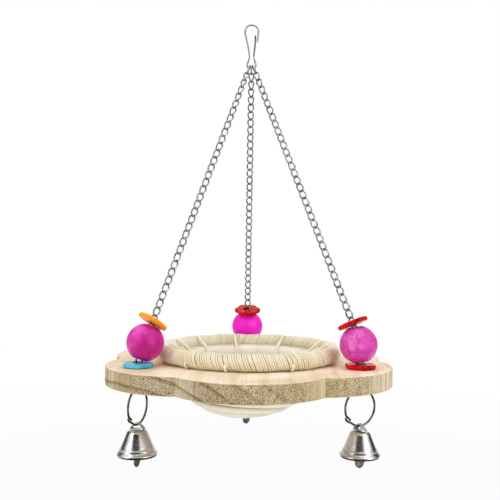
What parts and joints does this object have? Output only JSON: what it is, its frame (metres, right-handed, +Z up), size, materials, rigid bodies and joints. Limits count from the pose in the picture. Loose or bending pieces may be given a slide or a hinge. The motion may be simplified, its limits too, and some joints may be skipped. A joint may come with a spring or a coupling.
{
  "type": "hanging bird nest",
  "caption": "Coiled cotton nest bowl set in a scalloped wooden board, hung from a wire snap hook on chains with beads, flower discs, rings and bells.",
  "frame": {"origin": "inside of the snap hook's bow, at the point that bears on whatever holds the nest up", "axes": "+Z up along the hanging line, +Y to the rear towards the third chain, +X to the right as seen from the front"},
  "size_m": [0.1868, 0.1996, 0.2939],
  "materials": {
    "hook_wire": "plated spring steel wire, dull grey with bright edges",
    "chain_nickel": "bright nickel plated steel wire links",
    "ring_nickel": "nickel plated split ring wire",
    "hanger_nickel": "folded nickel plated steel strip",
    "bell_nickel": "polished nickel plated spun steel",
    "clapper_steel": "plain stamped steel tongue",
    "board_pine": "sanded unfinished pine with a rounded edge",
    "bead_dyed_wood": "turned wood dyed magenta, satin",
    "disc_orange": "moulded translucent orange plastic",
    "disc_red": "moulded translucent red plastic",
    "disc_turquoise": "moulded translucent turquoise plastic",
    "rim_hoop": "bare bent cane hoop, hidden under the winding",
    "cotton_cord": "natural cream cotton, wound and coiled",
    "tie_cord": "natural cream cotton tie"
  },
  "bodies": {
    "hook": {"hook_wire": "hook_wire"},
    "gate": {"hook_gate": "hook_wire"},
    "platform": {"scalloped_board": "board_pine", "chain_left": "chain_nickel", "chain_right": "chain_nickel", "chain_rear": "chain_nickel"},
    "nest": {"rim_core": "rim_hoop", "rim_winding": "cotton_cord", "bowl_coil": "cotton_cord", "tie_1": "tie_cord", "tie_2": "tie_cord", "tie_3": "tie_cord", "tie_4": "tie_cord", "tie_5": "tie_cord", "tie_6": "tie_cord", "tie_7": "tie_cord", "tie_8": "tie_cord", "tie_9": "tie_cord", "tie_10": "tie_cord"},
    "top_disc_left": {"top_disc_left": "disc_orange"},
    "bead_left": {"bead_left": "bead_dyed_wood"},
    "bottom_disc_left": {"bottom_disc_left": "disc_turquoise"},
    "ring_left": {"ring_left": "ring_nickel"},
    "bell_left": {"bell_left": "bell_nickel", "bell_hanger_left": "hanger_nickel"},
    "clapper_left": {"clapper_left": "clapper_steel"},
    "top_disc_right": {"top_disc_right": "disc_red"},
    "bead_right": {"bead_right": "bead_dyed_wood"},
    "bottom_disc_right": {"bottom_disc_right": "disc_red"},
    "ring_right": {"ring_right": "ring_nickel"},
    "bell_right": {"bell_right": "bell_nickel", "bell_hanger_right": "hanger_nickel"},
    "clapper_right": {"clapper_right": "clapper_steel"},
    "top_disc_rear": {"top_disc_rear": "disc_red"},
    "bead_rear": {"bead_rear": "bead_dyed_wood"},
    "bottom_disc_rear": {"bottom_disc_rear": "disc_red"},
    "ring_rear": {"ring_rear": "ring_nickel"},
    "bell_rear": {"bell_rear": "bell_nickel", "bell_hanger_rear": "hanger_nickel"},
    "clapper_rear": {"clapper_rear": "clapper_steel"}
  },
  "joints": [
    {"name": "gate_spring", "type": "hinge", "parent": "hook", "child": "gate", "pos_m": [0.00145, 0, -0.0216], "axis": [0, -1, 0], "range_deg": [0, 16], "stiffness_Nm_per_rad": 0.03, "springref_deg": -5.73},
    {"name": "platform_swing", "type": "hinge", "parent": "hook", "child": "platform", "pos_m": [0, 0, -0.0289], "axis": [1, 0, 0], "range_deg": [-35, 35]},
    {"name": "nest_lift", "type": "slide", "parent": "platform", "child": "nest", "axis": [0, 0, 1], "range_m": [0, 0.008]},
    {"name": "top_disc_spin_left", "type": "hinge", "parent": "platform", "child": "top_disc_left", "pos_m": [-0.06198, -0.03568, -0.20138], "axis": [0.4843, 0.2796, 0.829], "continuous": true},
    {"name": "bead_spin_left", "type": "hinge", "parent": "platform", "child": "bead_left", "pos_m": [-0.06633, -0.03825, -0.2145], "axis": [0.3039, 0.1793, 0.9357], "continuous": true},
    {"name": "bottom_disc_spin_left", "type": "hinge", "parent": "platform", "child": "bottom_disc_left", "pos_m": [-0.07041, -0.04065, -0.2282], "axis": [0, 0, 1], "continuous": true},
    {"name": "ring_swing_left", "type": "hinge", "parent": "platform", "child": "ring_left", "pos_m": [-0.07041, -0.04065, -0.2429], "axis": [0.3907, 0.9205, 0], "range_deg": [-35, 35]},
    {"name": "bell_swing_left", "type": "hinge", "parent": "ring_left", "child": "bell_left", "pos_m": [-0.07041, -0.04065, -0.266], "axis": [0.3907, 0.9205, 0], "range_deg": [-45, 45]},
    {"name": "clapper_swing_left", "type": "hinge", "parent": "bell_left", "child": "clapper_left", "pos_m": [-0.07041, -0.04065, -0.2748], "axis": [0.3907, 0.9205, 0], "range_deg": [-28, 28]},
    {"name": "top_disc_spin_right", "type": "hinge", "parent": "platform", "child": "top_disc_right", "pos_m": [0.0657, -0.03787, -0.20126], "axis": [-0.366, 0.2113, 0.9063], "continuous": true},
    {"name": "bead_spin_right", "type": "hinge", "parent": "platform", "child": "bead_right", "pos_m": [0.06918, -0.03992, -0.2145], "axis": [-0.1729, 0.102, 0.9797], "continuous": true},
    {"name": "bottom_disc_spin_right", "type": "hinge", "parent": "platform", "child": "bottom_disc_right", "pos_m": [0.07041, -0.04065, -0.2282], "axis": [0, 0, 1], "continuous": true},
    {"name": "ring_swing_right", "type": "hinge", "parent": "platform", "child": "ring_right", "pos_m": [0.07041, -0.04065, -0.2429], "axis": [0.8829, 0.4695, 0], "range_deg": [-35, 35]},
    {"name": "bell_swing_right", "type": "hinge", "parent": "ring_right", "child": "bell_right", "pos_m": [0.07041, -0.04065, -0.266], "axis": [0.8829, 0.4695, 0], "range_deg": [-45, 45]},
    {"name": "clapper_swing_right", "type": "hinge", "parent": "bell_right", "child": "clapper_right", "pos_m": [0.07041, -0.04065, -0.2748], "axis": [0.8829, 0.4695, 0], "range_deg": [-28, 28]},
    {"name": "top_disc_spin_rear", "type": "hinge", "parent": "platform", "child": "top_disc_rear", "pos_m": [0, 0.07278, -0.20168], "axis": [0, -0.2924, 0.9563], "continuous": true},
    {"name": "bead_spin_rear", "type": "hinge", "parent": "platform", "child": "bead_rear", "pos_m": [0, 0.07772, -0.2145], "axis": [0, -0.3254, 0.9456], "continuous": true},
    {"name": "bottom_disc_spin_rear", "type": "hinge", "parent": "platform", "child": "bottom_disc_rear", "pos_m": [0, 0.0813, -0.2282], "axis": [0, 0, 1], "continuous": true},
    {"name": "ring_swing_rear", "type": "hinge", "parent": "platform", "child": "ring_rear", "pos_m": [0, 0.0813, -0.2429], "axis": [0.766, 0.6428, 0], "range_deg": [-35, 35]},
    {"name": "bell_swing_rear", "type": "hinge", "parent": "ring_rear", "child": "bell_rear", "pos_m": [0, 0.0813, -0.266], "axis": [0.766, 0.6428, 0], "range_deg": [-45, 45]},
    {"name": "clapper_swing_rear", "type": "hinge", "parent": "bell_rear", "child": "clapper_rear", "pos_m": [0, 0.0813, -0.2748], "axis": [0.766, 0.6428, 0], "range_deg": [-28, 28]}
  ]
}
